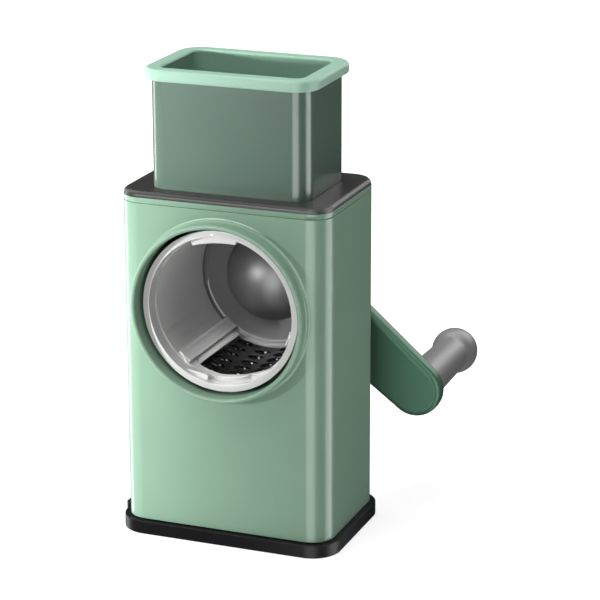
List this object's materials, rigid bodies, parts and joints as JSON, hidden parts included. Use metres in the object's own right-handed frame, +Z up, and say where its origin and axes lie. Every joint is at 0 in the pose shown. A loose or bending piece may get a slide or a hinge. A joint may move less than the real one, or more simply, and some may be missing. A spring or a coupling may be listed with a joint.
{
  "type": "rotary cabbage shredder",
  "caption": "Hand cranked drum shredder with a feed chute, a hollow pusher, a removable grater drum and a suction foot locked by a side lever.",
  "frame": {"origin": "on the table, under the middle of the housing", "axes": "+X to the right of the mouth, +Y from the mouth to the back, +Z up"},
  "size_m": [0.1505, 0.1685, 0.2375],
  "materials": {
    "housing_green": "satin moulded plastic",
    "chute_green": "glossy tinted plastic",
    "pusher_mint": "fine matt moulded plastic",
    "deck_grey": "matt moulded plastic",
    "black_plastic": "matt moulded plastic",
    "black_rubber": "soft moulded rubber",
    "drum_grey": "satin moulded plastic",
    "grater_steel": "bright pressed sheet",
    "steel": "turned and zinc plated",
    "seal_rubber": "smooth rubber",
    "crank_green": "satin moulded plastic",
    "knob_grey": "fine matt moulded plastic"
  },
  "bodies": {
    "housing": {"body_shell": "housing_green", "mouth_ring": "housing_green", "drum_chamber": "housing_green", "top_bezel": "pusher_mint", "top_plate": "deck_grey", "feed_chute": "chute_green", "base_plate": "black_plastic", "suction_pad": "black_rubber", "suction_membrane": "black_rubber", "lever_bushing": "black_plastic", "rear_bearing": "black_plastic", "shaft_seal": "seal_rubber", "base_screws": "steel", "deck_screws": "steel", "rear_screws": "steel"},
    "crank": {"crank_shaft": "steel", "shaft_clip": "steel", "crank_arm": "crank_green", "crank_screw": "steel", "crank_cap": "crank_green", "knob_axle": "steel", "knob_clip": "steel"},
    "knob": {"handle_knob": "knob_grey"},
    "drum": {"drum_front_ring": "drum_grey", "drum_cage": "drum_grey", "grater_panel_lower": "grater_steel", "grater_panel_upper": "grater_steel", "panel_rivets": "steel", "drum_dome": "drum_grey", "drive_socket": "steel", "socket_screws": "steel"},
    "pusher": {"pusher": "pusher_mint"},
    "lever": {"lever_shaft": "steel", "suction_lever": "knob_grey", "lever_screw": "steel", "lever_cap": "knob_grey"},
    "stem": {"suction_stem": "steel", "pad_disc": "black_plastic"}
  },
  "joints": [
    {"name": "crank_turn", "type": "hinge", "parent": "housing", "child": "crank", "pos_m": [0, 0.036, 0.122], "axis": [0, 1, 0], "continuous": true},
    {"name": "knob_spin", "type": "hinge", "parent": "crank", "child": "knob", "pos_m": [0.07217, 0.085, 0.06398], "axis": [0, 1, 0], "continuous": true},
    {"name": "drum_slide", "type": "slide", "parent": "crank", "child": "drum", "axis": [0, -1, 0], "range_m": [0, 0.075]},
    {"name": "pusher_slide", "type": "slide", "parent": "housing", "child": "pusher", "axis": [0, 0, 1], "range_m": [0, 0.085]},
    {"name": "lever_turn", "type": "hinge", "parent": "housing", "child": "lever", "pos_m": [-0.055, 0, 0.058], "axis": [-1, 0, 0], "range_deg": [0, 180]},
    {"name": "suction_pull", "type": "slide", "parent": "housing", "child": "stem", "axis": [0, 0, -1], "range_m": [0, 0.004], "deforming": ["suction_membrane"]}
  ],
  "couplings": [
    {"joint": "lever_turn", "follows": "suction_pull", "rad_per_m": 785.39}
  ]
}
